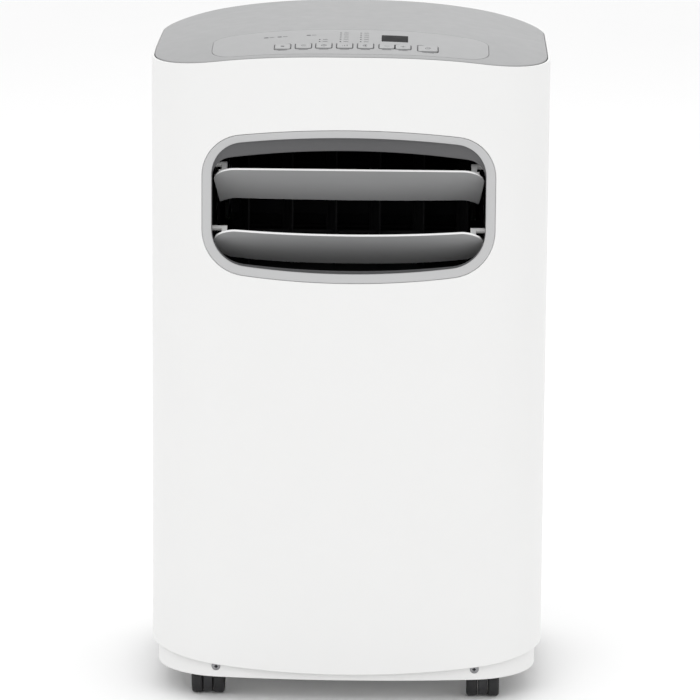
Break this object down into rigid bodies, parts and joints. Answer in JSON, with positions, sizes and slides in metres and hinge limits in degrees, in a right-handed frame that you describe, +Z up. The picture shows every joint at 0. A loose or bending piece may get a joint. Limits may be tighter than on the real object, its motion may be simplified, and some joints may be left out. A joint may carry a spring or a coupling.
{
  "type": "portable air conditioner",
  "caption": "Upright portable room air conditioner: bowed white casing on castors, grey lid with keys, and a wide front air outlet with tilting louvers.",
  "frame": {"origin": "on the floor, under the middle of the casing", "axes": "+Z up, -Y out of the front with the air outlet, +X towards the right as seen from the front"},
  "size_m": [0.436, 0.345, 0.74],
  "materials": {
    "casing_white": "fine satin",
    "lid_grey": "fine satin",
    "film_grey": "soft gloss",
    "key_grey": "satin",
    "display_black": "gloss",
    "frame_grey": "satin",
    "bevel_grey": "satin",
    "louver_grey": "satin",
    "inner_black": "matt",
    "castor_black": "satin",
    "steel": "zinc plated",
    "coil_aluminium": "mill finish",
    "pipe_copper": "drawn copper",
    "board_green": "solder mask",
    "compressor_black": "semi gloss"
  },
  "bodies": {
    "casing": {"front_shell": "casing_white", "rear_shell": "casing_white", "base_pan": "casing_white", "exhaust_collar": "casing_white", "intake_grille": "casing_white", "drain_tray": "casing_white", "top_panel": "lid_grey", "control_film": "film_grey", "display_window": "display_black", "outlet_frame": "frame_grey", "outlet_bevel": "bevel_grey", "outlet_duct": "inner_black", "blower_housing": "inner_black", "exhaust_housing": "inner_black", "cord_gland": "inner_black", "base_screw_left": "steel", "base_screw_right": "steel", "louver_motor": "steel", "blower_motor": "steel", "condenser_fan_motor": "steel", "evaporator_coil": "coil_aluminium", "condenser_coil": "coil_aluminium", "refrigerant_pipe": "pipe_copper", "circuit_board": "board_green", "control_board": "board_green", "compressor": "compressor_black"},
    "upper_louver": {"upper_louver_blade": "louver_grey", "upper_louver_carrier": "casing_white"},
    "lower_louver": {"lower_louver_blade": "louver_grey", "lower_louver_carrier": "casing_white"},
    "louver_link": {"louver_link_rod": "inner_black"},
    "vane_1": {"vane_1": "inner_black"},
    "vane_2": {"vane_2": "inner_black"},
    "vane_3": {"vane_3": "inner_black"},
    "vane_4": {"vane_4": "inner_black"},
    "vane_5": {"vane_5": "inner_black"},
    "vane_6": {"vane_6": "inner_black"},
    "vane_tie": {"vane_tie_bar": "inner_black"},
    "blower_wheel": {"blower_wheel": "inner_black"},
    "condenser_fan": {"condenser_fan": "inner_black"},
    "key_mode": {"key_mode": "key_grey"},
    "key_swing": {"key_swing": "key_grey"},
    "key_timer": {"key_timer": "key_grey"},
    "key_speed": {"key_speed": "key_grey"},
    "key_sleep": {"key_sleep": "key_grey"},
    "key_minus": {"key_minus": "key_grey"},
    "key_plus": {"key_plus": "key_grey"},
    "key_power": {"key_power": "key_grey"},
    "castor_front_left": {"castor_housing_front_left": "castor_black"},
    "castor_wheels_front_left": {"castor_wheels_front_left": "castor_black"},
    "castor_rear_left": {"castor_housing_rear_left": "castor_black"},
    "castor_wheels_rear_left": {"castor_wheels_rear_left": "castor_black"},
    "castor_front_right": {"castor_housing_front_right": "castor_black"},
    "castor_wheels_front_right": {"castor_wheels_front_right": "castor_black"},
    "castor_rear_right": {"castor_housing_rear_right": "castor_black"},
    "castor_wheels_rear_right": {"castor_wheels_rear_right": "castor_black"},
    "filter_cover": {"filter_cover": "casing_white"},
    "upper_drain_cap": {"upper_drain_cap": "inner_black"},
    "lower_drain_cap": {"lower_drain_cap": "inner_black"}
  },
  "joints": [
    {"name": "upper_louver_tilt", "type": "hinge", "parent": "casing", "child": "upper_louver", "pos_m": [0, -0.136, 0.5995], "axis": [1, 0, 0], "range_deg": [-50, 8]},
    {"name": "lower_louver_tilt", "type": "hinge", "parent": "casing", "child": "lower_louver", "pos_m": [0, -0.136, 0.529], "axis": [1, 0, 0], "range_deg": [-50, 8]},
    {"name": "louver_link_turn", "type": "hinge", "parent": "upper_louver", "child": "louver_link", "pos_m": [0.16, -0.14672, 0.6085], "axis": [1, 0, 0], "range_deg": [-8, 50]},
    {"name": "vane_3_turn", "type": "hinge", "parent": "casing", "child": "vane_3", "pos_m": [-0.024, -0.068, 0.555], "axis": [0, 0, 1], "range_deg": [-40.5, 6]},
    {"name": "vane_1_turn", "type": "hinge", "parent": "casing", "child": "vane_1", "pos_m": [-0.12, -0.068, 0.555], "axis": [0, 0, 1], "range_deg": [-40.5, 6]},
    {"name": "vane_2_turn", "type": "hinge", "parent": "casing", "child": "vane_2", "pos_m": [-0.072, -0.068, 0.555], "axis": [0, 0, 1], "range_deg": [-40.5, 6]},
    {"name": "vane_4_turn", "type": "hinge", "parent": "casing", "child": "vane_4", "pos_m": [0.024, -0.068, 0.555], "axis": [0, 0, 1], "range_deg": [-40.5, 6]},
    {"name": "vane_5_turn", "type": "hinge", "parent": "casing", "child": "vane_5", "pos_m": [0.072, -0.068, 0.555], "axis": [0, 0, 1], "range_deg": [-40.5, 6]},
    {"name": "vane_6_turn", "type": "hinge", "parent": "casing", "child": "vane_6", "pos_m": [0.12, -0.068, 0.555], "axis": [0, 0, 1], "range_deg": [-40.5, 6]},
    {"name": "vane_tie_turn", "type": "hinge", "parent": "vane_3", "child": "vane_tie", "pos_m": [-0.01765, -0.08697, 0.518], "axis": [0, 0, 1], "range_deg": [-6, 40.5]},
    {"name": "blower_spin", "type": "hinge", "parent": "casing", "child": "blower_wheel", "pos_m": [0, 0, 0.548], "axis": [1, 0, 0], "continuous": true},
    {"name": "condenser_fan_spin", "type": "hinge", "parent": "casing", "child": "condenser_fan", "pos_m": [-0.085, 0.03, 0.17], "axis": [0, 1, 0], "continuous": true},
    {"name": "key_mode_press", "type": "slide", "parent": "casing", "child": "key_mode", "axis": [0, -0.1716, 0.9852], "range_m": [-0.0006, 0], "stiffness_N_per_m": 300},
    {"name": "key_swing_press", "type": "slide", "parent": "casing", "child": "key_swing", "axis": [0, -0.1716, 0.9852], "range_m": [-0.0006, 0], "stiffness_N_per_m": 300},
    {"name": "key_timer_press", "type": "slide", "parent": "casing", "child": "key_timer", "axis": [0, -0.1716, 0.9852], "range_m": [-0.0006, 0], "stiffness_N_per_m": 300},
    {"name": "key_speed_press", "type": "slide", "parent": "casing", "child": "key_speed", "axis": [0, -0.1716, 0.9852], "range_m": [-0.0006, 0], "stiffness_N_per_m": 300},
    {"name": "key_sleep_press", "type": "slide", "parent": "casing", "child": "key_sleep", "axis": [0, -0.1716, 0.9852], "range_m": [-0.0006, 0], "stiffness_N_per_m": 300},
    {"name": "key_minus_press", "type": "slide", "parent": "casing", "child": "key_minus", "axis": [0, -0.1716, 0.9852], "range_m": [-0.0006, 0], "stiffness_N_per_m": 300},
    {"name": "key_plus_press", "type": "slide", "parent": "casing", "child": "key_plus", "axis": [0, -0.1716, 0.9852], "range_m": [-0.0006, 0], "stiffness_N_per_m": 300},
    {"name": "key_power_press", "type": "slide", "parent": "casing", "child": "key_power", "axis": [0, -0.1716, 0.9852], "range_m": [-0.0006, 0], "stiffness_N_per_m": 300},
    {"name": "castor_front_left_swivel", "type": "hinge", "parent": "casing", "child": "castor_front_left", "pos_m": [-0.153, -0.117, 0.045], "axis": [0, 0, 1], "continuous": true},
    {"name": "castor_wheels_front_left_roll", "type": "hinge", "parent": "castor_front_left", "child": "castor_wheels_front_left", "pos_m": [-0.153, -0.125, 0.019], "axis": [1, 0, 0], "continuous": true},
    {"name": "castor_rear_left_swivel", "type": "hinge", "parent": "casing", "child": "castor_rear_left", "pos_m": [-0.153, 0.117, 0.045], "axis": [0, 0, 1], "continuous": true},
    {"name": "castor_wheels_rear_left_roll", "type": "hinge", "parent": "castor_rear_left", "child": "castor_wheels_rear_left", "pos_m": [-0.153, 0.109, 0.019], "axis": [1, 0, 0], "continuous": true},
    {"name": "castor_front_right_swivel", "type": "hinge", "parent": "casing", "child": "castor_front_right", "pos_m": [0.153, -0.117, 0.045], "axis": [0, 0, 1], "continuous": true},
    {"name": "castor_wheels_front_right_roll", "type": "hinge", "parent": "castor_front_right", "child": "castor_wheels_front_right", "pos_m": [0.153, -0.125, 0.019], "axis": [1, 0, 0], "continuous": true},
    {"name": "castor_rear_right_swivel", "type": "hinge", "parent": "casing", "child": "castor_rear_right", "pos_m": [0.153, 0.117, 0.045], "axis": [0, 0, 1], "continuous": true},
    {"name": "castor_wheels_rear_right_roll", "type": "hinge", "parent": "castor_rear_right", "child": "castor_wheels_rear_right", "pos_m": [0.153, 0.109, 0.019], "axis": [1, 0, 0], "continuous": true},
    {"name": "filter_cover_pull", "type": "slide", "parent": "casing", "child": "filter_cover", "axis": [0, 1, 0], "range_m": [0, 0.06]},
    {"name": "upper_drain_cap_pull", "type": "slide", "parent": "casing", "child": "upper_drain_cap", "axis": [0, 1, 0], "range_m": [0, 0.03]},
    {"name": "lower_drain_cap_pull", "type": "slide", "parent": "casing", "child": "lower_drain_cap", "axis": [0, 1, 0], "range_m": [0, 0.03]}
  ],
  "couplings": [
    {"joint": "lower_louver_tilt", "follows": "upper_louver_tilt", "ratio": 1},
    {"joint": "louver_link_turn", "follows": "upper_louver_tilt", "ratio": -1},
    {"joint": "vane_1_turn", "follows": "vane_3_turn", "ratio": 1},
    {"joint": "vane_2_turn", "follows": "vane_3_turn", "ratio": 1},
    {"joint": "vane_4_turn", "follows": "vane_3_turn", "ratio": 1},
    {"joint": "vane_5_turn", "follows": "vane_3_turn", "ratio": 1},
    {"joint": "vane_6_turn", "follows": "vane_3_turn", "ratio": 1},
    {"joint": "vane_tie_turn", "follows": "vane_3_turn", "ratio": -1}
  ]
}
